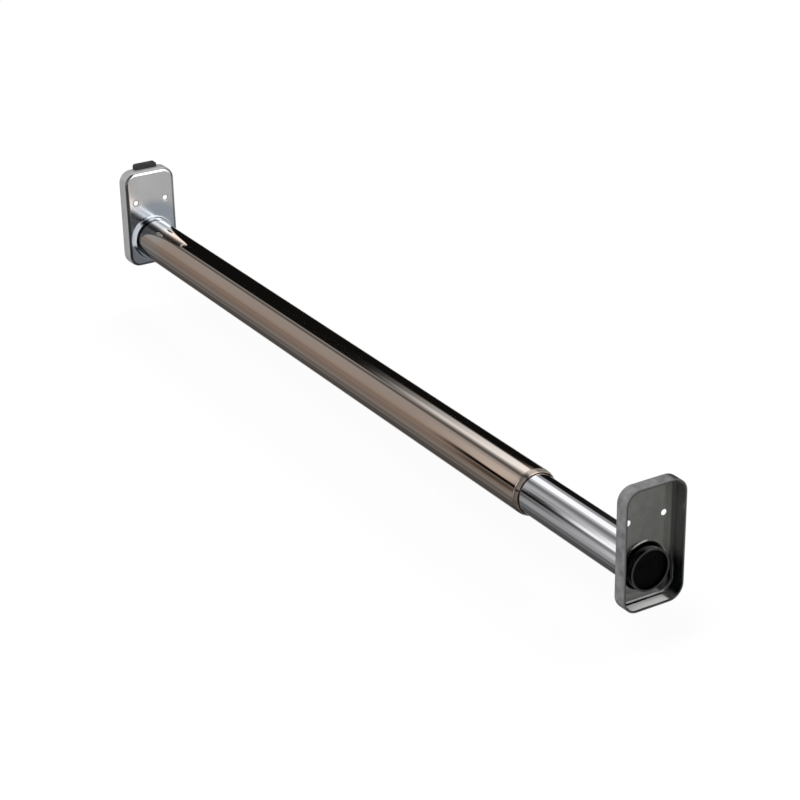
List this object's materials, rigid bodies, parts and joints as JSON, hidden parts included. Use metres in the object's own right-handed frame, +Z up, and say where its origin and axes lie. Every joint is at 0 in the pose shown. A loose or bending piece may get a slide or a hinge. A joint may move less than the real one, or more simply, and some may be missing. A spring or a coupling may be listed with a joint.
{
  "type": "adjustable closet rod",
  "caption": "Telescoping round closet rod: a smaller tube slides and turns in a larger one, and each tube ends in a tall cup-shaped wall flange with screw holes.",
  "frame": {"origin": "middle of the bounding box at the flanges' lower edges, midway between the two wall planes at the length shown", "axes": "+X along the rod from the large tube's wall to the small tube's wall, +Z up, +Y across the rod"},
  "size_m": [0.54, 0.0348, 0.0672],
  "materials": {
    "large_tube": "polished warm nickel plating",
    "small_tube": "polished chrome plating",
    "flange": "pressed steel, bright plating with a slight haze",
    "sleeve": "natural plastic, moulded",
    "plug": "black plastic, moulded",
    "pad": "black rubber"
  },
  "bodies": {
    "outer": {"outer_tube": "large_tube", "far_flange": "flange", "far_plug": "plug", "top_pad": "pad"},
    "guide": {"guide_sleeve": "sleeve"},
    "inner": {"inner_tube": "small_tube", "near_flange": "flange", "near_plug": "plug"}
  },
  "joints": [
    {"name": "telescope", "type": "slide", "parent": "outer", "child": "guide", "axis": [1, 0, 0], "range_m": [-0.0821, 0.222]},
    {"name": "twist", "type": "hinge", "parent": "guide", "child": "inner", "pos_m": [-0.1503, 0, 0.0182], "axis": [1, 0, 0], "continuous": true}
  ]
}
